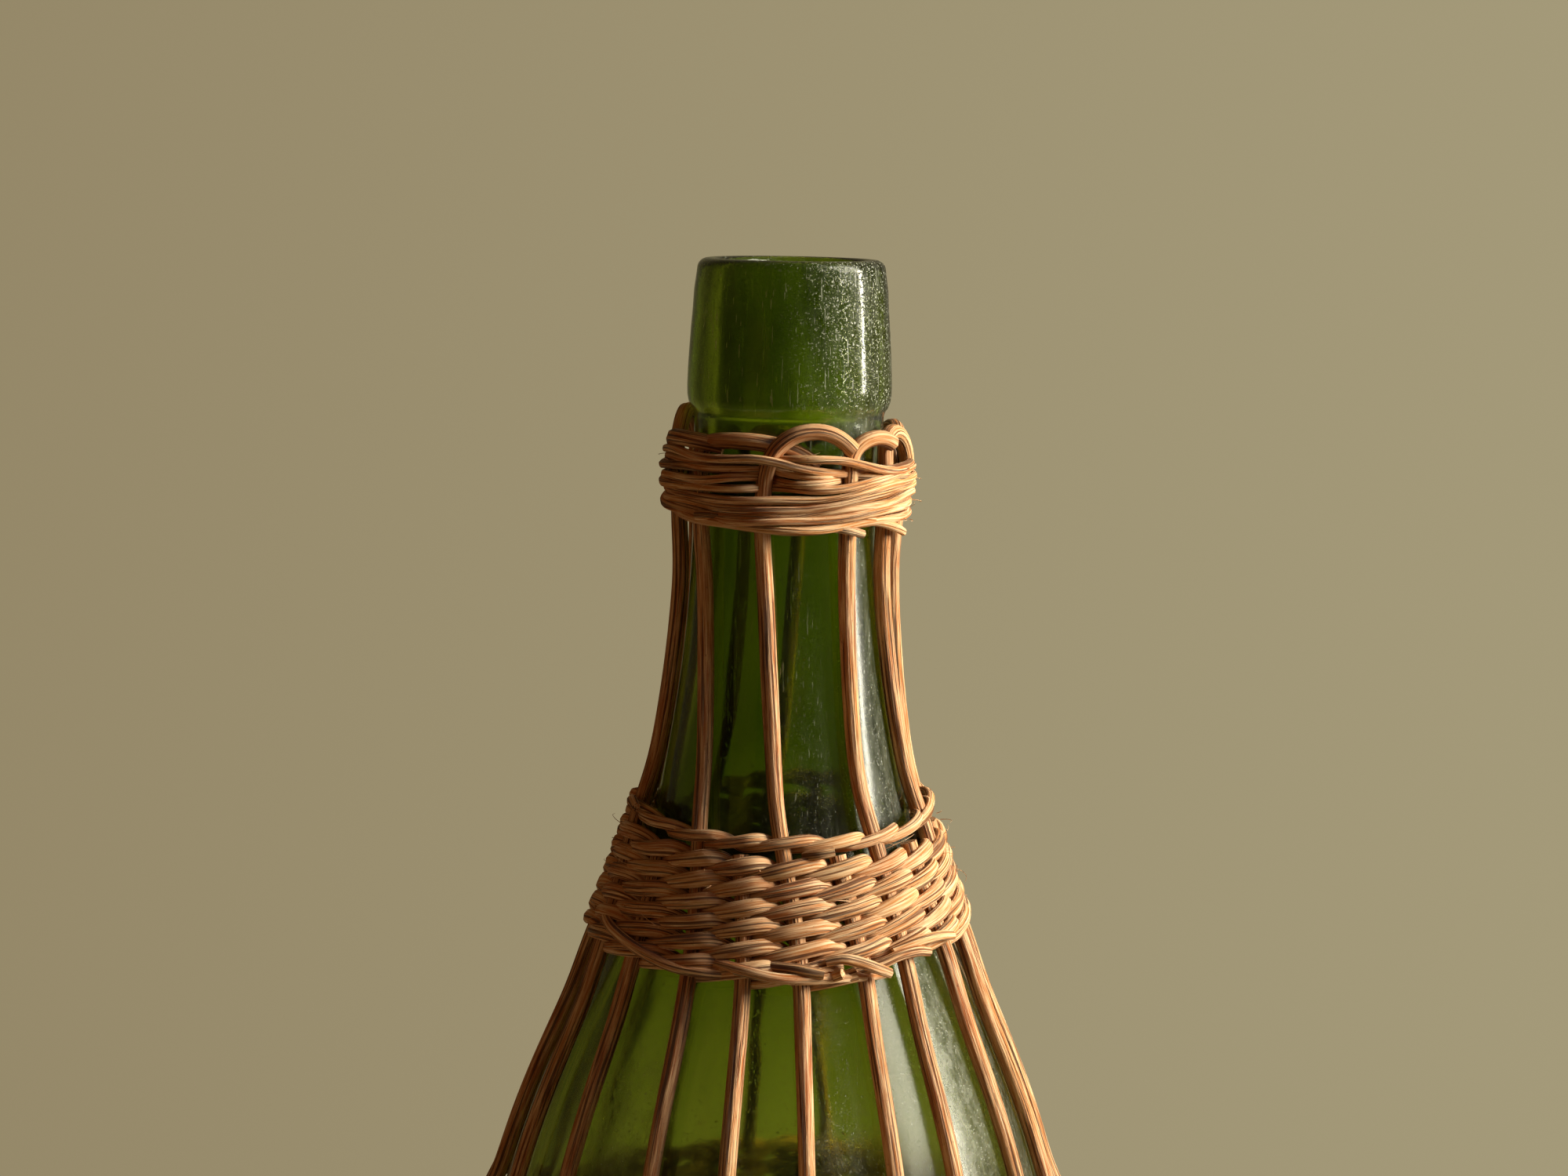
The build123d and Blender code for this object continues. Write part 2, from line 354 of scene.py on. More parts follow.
# Shader nodes
class Value:
    """A socket in shader maths."""

    def __init__(self, look, socket):
        self.look, self.socket = look, socket

    def math(self, operation, *others):
        return self.look.node("ShaderNodeMath", {"operation": operation}, self, *others)

    def __add__(self, other):
        return self.math("ADD", other)

    __radd__ = __add__

    def __sub__(self, other):
        return self.math("SUBTRACT", other)

    def __rsub__(self, other):
        return self.look.node("ShaderNodeMath", {"operation": "SUBTRACT"}, other, self)

    def __mul__(self, other):
        return self.math("MULTIPLY", other)

    __rmul__ = __mul__

    def __truediv__(self, other):
        return self.math("DIVIDE", other)

    def __pow__(self, other):
        return self.math("POWER", other)


class Look:
    """The nodes of a material, or of the room's light."""

    def __init__(self, owner, attribute=None):
        owner.use_nodes = True
        self.owner, self.attribute = owner, attribute
        self.tree = owner.node_tree

    def node(self, kind, settings, *values, out=0, **named):
        """A new node, from its settings and the values or links of its sockets."""
        node = self.tree.nodes.new(kind)
        for key, value in settings.items():
            if key == "stops":
                ramp = node.color_ramp
                while len(ramp.elements) < len(value):
                    ramp.elements.new(1.0)
                for element, (place, colour) in zip(ramp.elements, value):
                    element.position = place
                    element.color = (*colour, 1) if isinstance(colour, tuple) else (colour, colour, colour, 1)
            else:
                setattr(node, key, value)
        for key, value in list(enumerate(values)) + list(named.items()):
            self.set(node.inputs[key.replace("_", " ") if isinstance(key, str) else key], value)
        return Value(self, node.outputs[out])

    def set(self, socket, value):
        """Links a socket to a value, or gives it a number or a colour."""
        if isinstance(value, Value):
            self.tree.links.new(value.socket, socket)
        elif isinstance(value, tuple) and len(value) == 3 and socket.type == "RGBA":
            socket.default_value = (*value, 1)
        else:
            socket.default_value = value

    def give(self, **sockets):
        """Sets sockets of the material's own shader."""
        for key, value in sockets.items():
            self.set(self.tree.nodes["Principled BSDF"].inputs[key.replace("_", " ")], value)

    def parts(self, vector):
        """The x, y and z of a vector."""
        return [Value(self, socket) for socket in
                self.node("ShaderNodeSeparateXYZ", {}, vector).socket.node.outputs]

    def place(self):
        """The place on the piece, in metres or by its attribute."""
        if self.attribute:
            return self.node("ShaderNodeAttribute", {"attribute_name": self.attribute}, out="Vector")
        return self.node("ShaderNodeTexCoord", {}, out="Object")

    def noise(self, scale, detail=3.0, rough=0.55, bend=0.0, turn=(0, 0, 0)):
        vector = self.node("ShaderNodeMapping", {}, Vector=self.place(), Scale=scale, Rotation=turn)
        return self.node("ShaderNodeTexNoise", {}, Vector=vector, Scale=1.0, Detail=detail, Roughness=rough,
                         Distortion=bend)

    def ramp(self, value, *stops):
        return self.node("ShaderNodeValToRGB", {"stops": stops}, Fac=value)

    def above(self, value, low, high):
        """0 where a value is below low, and 1 above high."""
        return self.ramp(value, (low, 0.0), (high, 1.0))

    def below(self, value, low, high):
        """1 where a value is below low, and 0 above high."""
        return self.ramp(value, (low, 1.0), (high, 0.0))

    def fade(self, value, low, high, start=0.0, end=1.0):
        """Goes from start to end as a value goes from low to high."""
        return self.node("ShaderNodeMapRange", {}, value, low, high, start, end)

    def mixed(self, share, a, b):
        """Colour a, with a share of colour b."""
        node = self.tree.nodes.new("ShaderNodeMix")
        node.data_type = "RGBA"
        self.set(node.inputs[0], share)
        self.set(node.inputs[6], a)
        self.set(node.inputs[7], b)
        return Value(self, node.outputs[2])

    def end_with(self, output, share, a, b):
        """Ends in shader a, with a share of shader b."""
        self.set(self.tree.nodes[output].inputs[0], self.node("ShaderNodeMixShader", {}, share, a, b))


def cane_look(name, body, dark, pale, red):
    """Dry split cane: fine fibres along its length, dark splits, and colour that drifts from one length to the next.
    Its patterns are sized in millimetres, by the grain that the strands keep."""
    look = Look(bpy.data.materials.new(name), "grain")
    fibre = look.noise((3.4, 3.4, 0.13), 4.0, 0.62)
    hair = look.noise((8.5, 8.5, 0.22), 2.0, 0.6)
    split = look.noise((2.6, 2.6, 0.045), 2.0, 0.5)
    fleck = look.noise((2.2, 2.2, 1.3), 3.0, 0.6)
    drift = look.noise((0.05, 0.05, 0.035))
    splits = look.below(split, 0.38, 0.46)
    flecks = look.below(fleck, 0.30, 0.36)
    ridges = look.above(fibre, 0.40, 0.64)
    colour = look.mixed(look.above(drift, 0.38, 0.62), body, red)
    colour = look.mixed(ridges * 0.68, colour, pale)
    colour = look.mixed(splits * 0.82, colour, dark)
    colour = look.mixed(flecks * 0.35, colour, dark)
    relief = fibre * 0.8 + hair * 0.4 - splits * 0.8
    bump = look.node("ShaderNodeBump", {}, Strength=0.7, Distance=0.0004, Height=relief)
    look.give(Base_Color=colour, Roughness=0.44 + 0.36 * (1 - ridges), Specular_IOR_Level=0.30, Normal=bump)
    return look.owner


def cut_look(name):
    """The pale, pithy end where a cane was cut."""
    look = Look(bpy.data.materials.new(name), "grain")
    pith = look.noise((3.5, 3.5, 0.01), 3.0, 0.6)
    colour = look.ramp(pith, (0.36, (0.24, 0.12, 0.05)), (0.50, (0.60, 0.42, 0.24)), (0.66, (0.80, 0.65, 0.44)))
    bump = look.node("ShaderNodeBump", {}, Strength=0.6, Distance=0.0004, Height=pith)
    look.give(Base_Color=colour, Roughness=0.85, Normal=bump)
    return look.owner


# The glass's colours. The pairs of depths are where it turns pale, where the collar's thick glass ends, where the
# belly's dust begins and where the collar's wear ends. The worn side faces so far to the right and so far forward,
# where the lamps show in the glass: a sheen is painted there, and painted shade on the collar's other side.
deep_green, light_green = (0.165, 0.245, 0.008), (0.31, 0.40, 0.026)
amber, belly_green = (0.26, 0.16, 0.03), (0.70, 0.77, 0.26)
# The collar's last colour is that of a painted highlight line at its foot
collar_dark, collar_bright, collar_highlight = (0.055, 0.105, 0.002), (0.50, 0.66, 0.06), (0.78, 0.90, 0.16)
dust_and_sheen_colour = (0.62, 0.63, 0.45)
pale_from, thick_until, dusty_from, worn_until = (90.0, 150.0), (20.0, 27.0), (84.0, 112.0), (22.0, 24.0)
wear_and_sheen_right, wear_and_sheen_front = 0.74, 0.67


def glass_look(name):
    """Bottle-green glass with streaks from the blowing, bubbles and scratches, dust, and a collar worn dull. A pale
    sheen is painted where the lamps show in it, and the collar gets painted shade on its side away from them and a
    painted highlight line at its foot.
    """
    look = Look(bpy.data.materials.new(name))
    x, y, z = look.parts(look.place())
    depth = height - z / MM
    side = (x * wear_and_sheen_right - y * wear_and_sheen_front) / (x * x + y * y) ** 0.5     # near 1 on the side where the lamps show, which is worn and gets a painted sheen

    # The colour: streaked, paler on the belly, and cloudy in the collar's thick glass, with painted shade on the
    # collar's side away from the lamps and a painted highlight line at its foot
    streaks = look.noise((95, 95, 8))
    cloud = look.noise((42, 42, 42), 2.0)
    tint = look.mixed(look.above(streaks * 0.6 + cloud * 0.4, 0.38, 0.64), deep_green, light_green)
    tint = look.mixed(look.above(look.noise((130, 130, 9), 2.0), 0.66, 0.74) * 0.55, tint, amber)
    tint = look.mixed(look.fade(depth, *pale_from) * 0.68, tint, belly_green)
    thick = look.fade(depth, *thick_until, 1.0, 0.0)
    swirl = look.noise((120, 120, 35), 4.0, 0.6, 0.6, (0.3, 0.5, 0.0))
    # Smoke by chance, with more of it on the collar's side away from the lamps: painted shade there, which leaves the
    # bright green more on the collar's lit side
    smoke_and_shade = look.above(swirl + 0.15 * (0.25 - side), 0.40, 0.62)
    tint = look.mixed(thick * (0.15 + 0.45 * smoke_and_shade), tint, collar_dark)
    tint = look.mixed(thick * (1 - smoke_and_shade) * 0.45, tint, collar_bright)
    # A painted highlight line round the collar's foot
    off_line = (depth - collar_foot).math("ABSOLUTE")
    tint = look.mixed(0.75 * look.fade(off_line, 0.3, 1.5, 1.0, 0.0), tint, collar_highlight)

    # The surface: ripples, pits and scratches
    ripple = look.noise((48, 48, 22), 2.0)
    pits = look.ramp(look.noise((1500, 1500, 1500), 1.0), (0.70, 0.0), (0.80, 0.06))
    scratches = look.above(look.noise((2600, 2600, 110), 1.0, turn=(0.9, 0.5, 0.0)), 0.70, 0.74)
    scratches = scratches + look.above(look.noise((3000, 3000, 90), 1.0, turn=(-0.7, 1.0, 0.4)), 0.71, 0.75)
    frost = look.above(look.noise((2000, 2000, 1700), 2.0, 0.6), 0.54, 0.63)

    # Dust lies in vertical bands and specks, and the collar is worn dull by handling. Where the lamps show in the
    # glass, a pale sheen is painted in the dust's colour. On the collar's worn side it is partly wear and partly
    # painted highlight
    bands = look.above(look.noise((55, 55, 7), 3.0, 0.6), 0.47, 0.66)
    specks = look.above(look.noise((2600, 2600, 2600), 2.0, 0.6), 0.60, 0.70)
    film = look.above(look.noise((800, 800, 260), 4.0, 0.7), 0.38, 0.72)
    belly = look.fade(depth, *dusty_from, 0.35, 1.0)
    collar = look.fade(depth, *worn_until, 1.0, 0.0)
    # The collar's worn side: its pale specks are partly wear and partly a painted highlight where the lamps show
    wear_and_sheen = look.fade(side + cloud * 0.5, 0.95, 1.2)
    # A pale sheen painted where the lamps show in the glass
    painted_sheen = look.fade(side + streaks * 0.2, 0.97, 1.08)
    dust_and_sheen = 0.01 * film + 0.04 * specks + bands * belly * (0.01 + 0.06 * film + 0.20 * specks)
    dust_and_sheen = dust_and_sheen + (1 - collar) * painted_sheen * (0.02 + 0.08 * film + 0.18 * specks)
    dust_and_sheen = dust_and_sheen + collar * (wear_and_sheen * (0.05 * film + 0.55 * specks) + 0.10 * specks)
    dust_and_sheen = dust_and_sheen + (0.12 + 0.14 * collar) * scratches.math("MINIMUM", 1.0)
    dull = 0.22 * bands * film + (1 - collar) * 0.13 * painted_sheen + collar * wear_and_sheen * (0.03 + 0.08 * film)

    relief = ripple + pits - scratches * 0.02 + collar * wear_and_sheen * frost * 0.3
    bump = look.node("ShaderNodeBump", {}, Strength=0.22, Distance=0.0022, Height=relief)
    look.give(Base_Color=tint, Roughness=0.07 + dull, Normal=bump)
    look.give(Transmission_Weight=1.0, IOR=1.5, Specular_Tint=(1.0, 0.97, 0.84))
    clear = Value(look, look.tree.nodes["Principled BSDF"].outputs[0])
    # This pale shader carries the dust and the painted sheen
    dust_and_sheen_shader = look.node("ShaderNodeBsdfPrincipled", {}, Base_Color=dust_and_sheen_colour, Roughness=0.85)
    look.end_with("Material Output", dust_and_sheen.math("MINIMUM", 0.85), clear, dust_and_sheen_shader)
    return look.owner


cane = cane_look("dry_cane", body=(0.46, 0.185, 0.050), dark=(0.060, 0.018, 0.006), pale=(0.90, 0.63, 0.33),
                 red=(0.38, 0.110, 0.030))
weaver = cane_look("cane_weaver", body=(0.54, 0.225, 0.060), dark=(0.070, 0.022, 0.007), pale=(0.96, 0.735, 0.42),
                   red=(0.45, 0.140, 0.034))
cut_cane = cut_look("cut_cane")
glass = glass_look("green_glass")


# The glass, turned from one outline of its wall
def wall_points(inset):
    """The wall from the collar down to where the flask rests, as radius and depth, on the glass or inside it."""
    points = []
    for top, radius, a, b, bend in arcs:
        for step in range(arc_steps):
            lean = a + (b - a) * step / arc_steps
            r = radius + bend * (cos(a) - cos(lean)) - inset * cos(lean)
            points.append((r, top + bend * (sin(lean) - sin(a)) + inset * sin(lean)))
    return points + [(rest_radius, glass_depth - inset)]


def rounded(radius, depth, size, start, flats=6):
    """A quarter of a rounded edge, clockwise from the start angle."""
    turns = [radians(start - 90.0 * flat / flats) for flat in range(flats + 1)]
    return [(radius + size * cos(turn), depth - size * sin(turn)) for turn in turns]


def dome(inset):
    """The pushed-up bottom, from near its edge to the middle."""
    return [(rest_radius * share, glass_depth - inset - push_up * (1 - share**2))
            for share in (0.8, 0.6, 0.4, 0.2, 0.0)]


outline = [(bore_radius, bore_end)]
outline += rounded(bore_radius + lip_round, lip_round, lip_round, 180.0)
outline += rounded(lip_radius - outer_lip_round, outer_lip_round, outer_lip_round, 90.0)
outline += collar_side + wall_points(0.0) + dome(0.0)
outline += dome(wall)[::-1] + wall_points(wall)[::-1]
neck_inside = neck_radius - wall
for step in range(bore_steps - 1, 0, -1):
    at = bore_end + (bore_opened - bore_end) * step / bore_steps
    outline.append((bore_radius + (neck_inside - bore_radius) * ease(bore_end, bore_opened, at), at))

shell = bmesh.new()
verts = [shell.verts.new((radius * MM, 0, (height - depth) * MM)) for radius, depth in outline]
edges = [shell.edges.new(pair) for pair in zip(verts, verts[1:] + verts[:1])]
bmesh.ops.spin(shell, geom=verts + edges, axis=(0, 0, 1), cent=(0, 0, 0), angle=2 * pi, steps=turn_steps,
               use_merge=True)
bmesh.ops.remove_doubles(shell, verts=shell.verts, dist=weld)
bmesh.ops.delete(shell, geom=[e for e in shell.edges if not e.link_faces], context="EDGES")
bmesh.ops.recalc_face_normals(shell, faces=shell.faces)
for face in shell.faces:
    face.smooth = True
finished(shown_piece("glass", shell, glass), "glass", "glass_bottle")

# How the long stakes arch over to their right, as angle, depth and the distance out from the stakes' line. The front
# ones follow the photograph, and the others are shaped alike.
arches = {
    0: [(-9.5, 30.4, 0.2), (-6.5, 28.7, 0.5), (-1.5, 27.2, 0.7), (4.0, 26.3, 0.8), (9.0, 25.95, 0.9),
        (14.5, 25.85, 1.0), (20.0, 26.1, 1.1), (25.0, 26.8, 1.3), (29.0, 27.8, 1.5), (32.0, 28.9, 1.7)],
    2: [(33.0, 30.4, 0.3), (34.5, 29.0, 0.5), (38.5, 27.8, 0.8), (44.0, 27.15, 1.1), (50.0, 27.0, 1.4),
        (55.5, 27.4, 1.5), (60.0, 28.1, 1.5)],
    4: [(61.0, 30.4, 0.1), (61.0, 28.2, 0.1), (64.0, 26.7, 0.3), (70.0, 26.4, 0.6), (76.0, 27.0, 1.0),
        (81.0, 28.6, 1.3), (84.0, 30.6, 1.6), (85.5, 32.4, 1.6)],
    14: [(-122.0, 30.4, 0.2), (-119.0, 27.0, 0.2), (-112.0, 24.9, 0.3), (-104.0, 24.4, 0.3), (-98.0, 25.2, 0.3),
         (-95.0, 27.0, 0.3), (-94.0, 29.4, 0.5)],
    16: [(-90.5, 30.6, 0.4), (-86.0, 28.9, 0.9), (-78.0, 28.1, 1.3), (-66.0, 27.9, 1.6), (-55.0, 27.9, 1.6),
         (-46.0, 28.2, 1.0), (-37.0, 28.7, -0.4)],
    18: [(-52.5, 30.6, 0.2), (-50.0, 28.9, 0.3), (-43.0, 28.0, 0.4), (-32.0, 27.75, 0.3), (-20.0, 27.7, 0.0),
         (-9.0, 28.1, -0.5), (1.0, 28.9, -0.8), (9.0, 29.9, -0.9), (16.0, 31.4, -0.9)],
}


# The canes: each crosses under the flask and stands up on both sides
def stake_path(number, long):
    """One end of a cane, from the corner of the base up."""
    number %= stakes
    top = arch_depth
    if not long:
        top = shoulder_band[0] + short_tip + short_tip_sway * cos(radians(post_angle(number, 90.0)))
    path = []
    depth = corner_depth
    while depth > top + stake_pitch:
        path.append(on_coat(post_angle(number, depth), depth))
        depth -= stake_pitch
    if not long:
        return path + [on_coat(post_angle(number, top), top)]
    arch = arches.get(number)
    if not arch:
        start, end = post_angle(number, top), post_angle(number + 2, top)
        rise = arch_rise + rng.uniform(*arch_rise_spread)
        arch = [(start + (end - start) * share, top - rise * sin(pi * share) ** 0.8, arch_out + arch_climb * share)
                for share in (0.0, 0.12, 0.28, 0.46, 0.64, 0.8, 0.9)]
    shift = 360.0 * round((post_angle(number, top) - arch[0][0]) / 360.0)
    # A third of the way over to the arch, so that the stake doesn't bend sharply into it
    here = post_angle(number, depth)
    path.append(on_coat((here * 2 + arch[0][0] + shift) / 3, (depth * 2 + top) / 3))
    return path + [on_coat(angle + shift, down, out) for angle, down, out in flowing(arch, arch_pitch)]


def crossing(lane, layer, end):
    """One end of a cane under the flask, from the corner of the base in to where the two layers cross."""
    quarter = stakes // 4
    number = layer * quarter + (lane if end > 0 else stakes // 2 - lane)
    angle = stake_zero + number * stake_step
    ahead = radians(stake_zero + layer * quarter * stake_step - 90)
    along, across = end * fan_reach, lane * layer_gap
    return number, [on_ring(angle, corner_radius, base_level + corner_rise),
                    on_ring(angle, corner_radius - corner_inset, base_level),
                    on_ring(angle, fan_radius, base_level),
                    Vector((along * cos(ahead) - across * sin(ahead), along * sin(ahead) + across * cos(ahead),
                            base_level + (layer - 0.5) * layer_gap))]


made = {"long": 0, "short": 0}
for layer in (0, 1):
    for lane in range(-(layer_canes // 2), layer_canes // 2 + 1):
        near, under_near = crossing(lane, layer, 1)
        far, under_far = crossing(lane, layer, -1)
        kind = "long" if near % 2 == 0 else "short"
        made[kind] += 1
        long = kind == "long"
        path = stake_path(near, long)[::-1] + under_near + under_far[::-1] + stake_path(far, long)
        path = worn_round(spaced(path, cane_pitch), passes=4)
        seed = 100 + 10 * layer + lane
        swell = Wobble(seed, cane_wave)
        sizes = [1 + cane_swell * swell(cane_pitch * n) for n in range(len(path))]
        section = section_of(cane_thickness, cane_thickness, sides=22, ridges=7, ridge=0.042, seed=seed)
        willow = "arched_cane" if long else "stopped_cane"
        piece = strand_piece(f"{willow}_{made[kind]}", [strand_mesh(path, section, "MINIMUM", sizes=sizes)], cane)
        finished(piece, "cane", f"{kind}_cane_{made[kind]}")


# The weavers. What a twined strand does from behind one stake to behind the next but one: its place, from -1 to 1
# with its own stake in the middle, how far out it lies, how high, and how wide it shows.
beat_keys = [(-1.0, -1.0, -0.85, 0.82), (-0.86, -0.62, -1.05, 0.8), (-0.74, 0.05, -1.08, 0.78),
             (-0.6, 0.42, -0.95, 0.82), (-0.42, 0.68, -0.64, 0.9), (-0.2, 0.9, -0.26, 0.99), (0.0, 1.0, 0.08, 1.04),
             (0.2, 1.0, 0.46, 1.06), (0.38, 0.84, 0.78, 1.06), (0.54, 0.46, 0.92, 1.0), (0.72, -0.25, 0.68, 0.92),
             (0.86, -0.78, 0.0, 0.86), (1.0, -1.0, -0.85, 0.82)]
beat_length = 2.0
# The beat with one more key before it and one after, as it repeats
beat_run = [(beat_keys[-2][0] - beat_length, *beat_keys[-2][1:]), *beat_keys,
            (beat_keys[1][0] + beat_length, *beat_keys[1][1:])]
# How much higher the top row lies than its place in the spiral, by stake, and how much less it swings out, dips and
# measures across
lifts = [(-6.0, 2.4), (-4.0, 1.6), (-2.0, 0.7), (0.0, 1.0), (1.0, 1.2), (2.0, 1.3), (3.0, 1.8), (4.0, 2.8),
         (5.0, 3.4), (7.0, 2.8), (10.0, 1.8), (13.0, 1.0), (16.0, 0.3), (19.0, 0.0), (999.0, 0.0)]
loose_swing, loose_dip, loose_width = 0.12, 0.42, 0.26
# The length of the waves in which the weavers wander, and how much these move, tilt and swell a strand
weave_wave, weave_swell_wave, laid_wave = 30.0, 18.0, 26.0
weave_wander, weave_tilt, weave_swell = 0.16, 0.18, 0.05
laid_tilt, laid_swell = 0.25, 0.06
laid_end = 0.3                         # the share of a tapered strand over which each end gets thin


def beat_at(place):
    """How far out, how high and how wide a twined strand is at a place of its beat, smoothly between the keys."""
    n = 0
    while n < len(beat_keys) - 2 and beat_keys[n + 1][0] < place:
        n += 1
    before, a, b, after = beat_run[n:n + 4]
    size = b[0] - a[0]
    return [curved(p1, p2, (p2 - p0) / (b[0] - before[0]) * size, (p3 - p1) / (after[0] - a[0]) * size,
                   (place - a[0]) / size)
            for p0, p1, p2, p3 in zip(before[1:], a[1:], b[1:], after[1:])]


def twined(band, turns, row, first_post, swing, dip, phase, width, thick, seed, pitch, sag=0.0, loose_posts=0):
    """One of two weavers twisted about each other between the stakes. The part of it that lies outside climbs to the
    right, over the end of the other one, and dives in behind the next stake. It sets out at the band's top, and each
    turn lies a row further down."""
    wander, swell = Wobble(seed, weave_wave), Wobble(seed + 1, weave_swell_wave)
    top, bottom = band
    arc = 2 * pi * (glass_at((top + bottom) / 2)[0] + weave_reach) * turns
    cuts = int(arc / pitch)
    path, tilts, sizes = [], [], []
    for n in range(cuts + 1):
        post = first_post + turns * stakes * n / cuts
        out, up, size = beat_at((post + phase / pi + 1) % beat_length - 1)
        run = arc * n / cuts
        here = top + row * (post - first_post) / stakes
        angle = between_posts(post, here)
        here += sag * cos(radians(angle))
        loose = 0.0
        if loose_posts:
            here -= value_at(lifts, post)
            loose = 1 - ease(loose_posts - 3, loose_posts + 1, post)
        path.append(on_coat(angle, here, swing * out * (1 - loose_swing * loose),
                            weave_wander * wander(run) - dip * up * (1 - loose_dip * loose)))
        tilts.append(-glass_at(here)[1] + weave_tilt * wander(run + 50))
        sizes.append((size + weave_swell * swell(run)) * (1 - loose_width * loose))
    section = section_of(width, thick, sides=16, ridges=7, ridge=0.035, seed=seed)
    return strand_mesh(worn_round(path, passes=2), section, "Z_UP", tilts, sizes)


def laid(keys, width, thick, seed, taper=0.0, pitch=0.8, loose=0.1):
    """A strand laid through given key places of angle, depth and distance out from the stakes' line. Its one wander
    is read at places far apart for its distance out, its tilt and its size."""
    wander = Wobble(seed, laid_wave)
    run = flowing(keys, pitch)
    path, tilts, sizes = [], [], []
    for n, (angle, depth, out) in enumerate(run):
        at, share = n * pitch, n / len(run)
        path.append(on_coat(angle, depth, out + 1.5 * loose * wander(at + 500), loose * wander(at)))
        tilts.append(-glass_at(depth)[1] + laid_tilt * wander(at + 90))
        full = ease(0.0, laid_end, share) * ease(0.0, laid_end, 1 - share)
        sizes.append(1 + laid_swell * wander(at + 40) - taper * (1 - full))
    section = section_of(width, thick, sides=14, ridges=5, ridge=0.06, seed=seed)
    return strand_mesh(path, section, "Z_UP", tilts, sizes)


# The windings under the collar, each turn as it crosses the front from left to right, as angle, depth and distance
# out from the stakes' line
neck_rows = [
    [(-90, 29.9, 2.0), (-70, 30.0, 2.1), (-50, 30.3, 2.1), (-30, 30.3, 2.1), (-14, 30.25, 2.2), (-4, 30.7, 2.2),
     (5, 31.25, 2.2), (14, 31.8, 1.6), (25, 32.3, 0.6), (38, 32.5, 0.3), (52, 32.4, 1.3), (66, 32.0, 2.1),
     (80, 31.6, 2.2)],
    [(-90, 31.4, 1.5), (-60, 31.3, 1.4), (-35, 30.9, 0.6), (-15, 30.4, -0.6), (-4, 30.15, 0.2), (6, 30.05, 1.6),
     (15, 30.15, 2.3), (26, 30.5, 2.4), (36, 31.1, 2.4), (50, 31.8, 2.4), (64, 32.2, 2.3), (80, 32.6, 1.7)],
    [(-90, 32.5, 2.3), (-60, 32.3, 2.2), (-40, 31.9, 2.1), (-22, 31.8, 1.5), (-9, 32.2, -0.9), (4, 32.7, 0.9),
     (16, 32.9, 1.1), (30, 33.0, -0.9), (44, 32.9, 1.2), (58, 33.3, 2.2), (80, 33.8, 2.2)],
    [(-90, 33.9, 2.1), (-60, 34.0, 2.2), (-40, 33.6, 2.2), (-22, 33.3, 1.5), (-9, 33.5, -0.9), (4, 33.7, 1.2),
     (16, 33.7, 1.2), (30, 33.9, -0.8), (42, 34.4, 0.8), (58, 34.9, 1.4), (80, 35.0, 1.8)],
    [(-90, 35.0, 2.5), (-60, 35.3, 2.3), (-38, 35.0, 2.1), (-20, 34.9, 1.3), (-9, 34.85, -0.7), (2, 34.7, 0.9),
     (14, 34.75, 2.0), (24, 34.55, 2.3), (34, 34.1, 2.4), (46, 33.5, 2.4), (60, 32.9, 2.4), (80, 32.5, 2.0)],
    [(-90, 36.0, 1.8), (-60, 36.4, 2.1), (-30, 36.6, 2.1), (-12, 36.6, 2.1), (5, 36.5, 2.2), (16, 36.2, 2.2),
     (30, 35.5, 2.4), (45, 34.7, 2.5), (60, 34.1, 2.5), (80, 33.7, 2.4)],
    [(-90, 37.3, 1.8), (-60, 37.6, 2.0), (-30, 37.9, 2.1), (-10, 37.9, 2.2), (5, 37.7, 2.3), (16, 37.2, 2.4),
     (30, 36.6, 2.4), (45, 36.0, 2.5), (60, 35.3, 2.5), (80, 35.0, 2.4)],
    [(-90, 37.9, 1.5), (-60, 38.6, 1.5), (-30, 39.1, 1.5), (-8, 39.0, 1.6), (6, 38.7, 1.8), (18, 38.3, 2.0),
     (34, 37.6, 2.2), (50, 37.0, 2.3), (65, 36.6, 2.3), (80, 36.4, 2.2)],
    [(-90, 38.0, 2.1), (-65, 38.8, 2.2), (-40, 39.6, 2.2), (-20, 39.9, 2.1), (0, 39.8, 2.0), (15, 39.5, 2.1),
     (34, 38.8, 2.3), (52, 38.3, 2.4), (80, 37.8, 2.2)],
    [(-90, 38.6, 1.6), (-65, 39.3, 1.7), (-45, 40.1, 2.0), (-25, 40.7, 2.1), (0, 40.9, 2.1), (20, 40.8, 2.1),
     (38, 40.2, 2.2), (55, 39.7, 2.3), (80, 39.4, 2.2)],
]
# Where the rows start and end. At the back, which isn't seen, a winding strays by chance from one row down to the
# next, and lies over the stakes or behind one.
row_start, row_end = -90, 80
back_stray, back_out = 0.3, (2.2, 2.1, 1.9, -0.6)
for letter, first, last_depth, seed in (("a", 0, 39.2, 300), ("b", 1, 40.4, 400)):
    rows = neck_rows[first::2]
    keys = []
    for turn, row in enumerate(rows):
        keys += [(angle + 360.0 * turn, depth, out) for angle, depth, out in row]
        after = rows[turn + 1][0][1] if turn + 1 < len(rows) else last_depth
        for share in (0.2, 0.4, 0.6, 0.8):
            depth = row[-1][1] * (1 - share) + after * share + rng.uniform(-back_stray, back_stray)
            angle = row_end + (360 + row_start - row_end) * share + 360.0 * turn
            keys.append((angle, depth, rng.choice(back_out)))
    strand = laid(keys, width=1.36, thick=1.5, seed=seed, pitch=0.7, loose=0.28)
    finished(strand_piece(f"neck_winding_{letter}", [strand], weaver), "weaver", f"neck_weaver_{letter}")

# The shoulder's first row starts a little below the band's top
first_row_drop = 0.15
# The woven base passes so many stakes and sways up and down from one to the next, as it goes outwards
base_posts, base_cuts = 30, 8
base_inset, base_spread, base_sway = 6.0, 2.5, 2.6
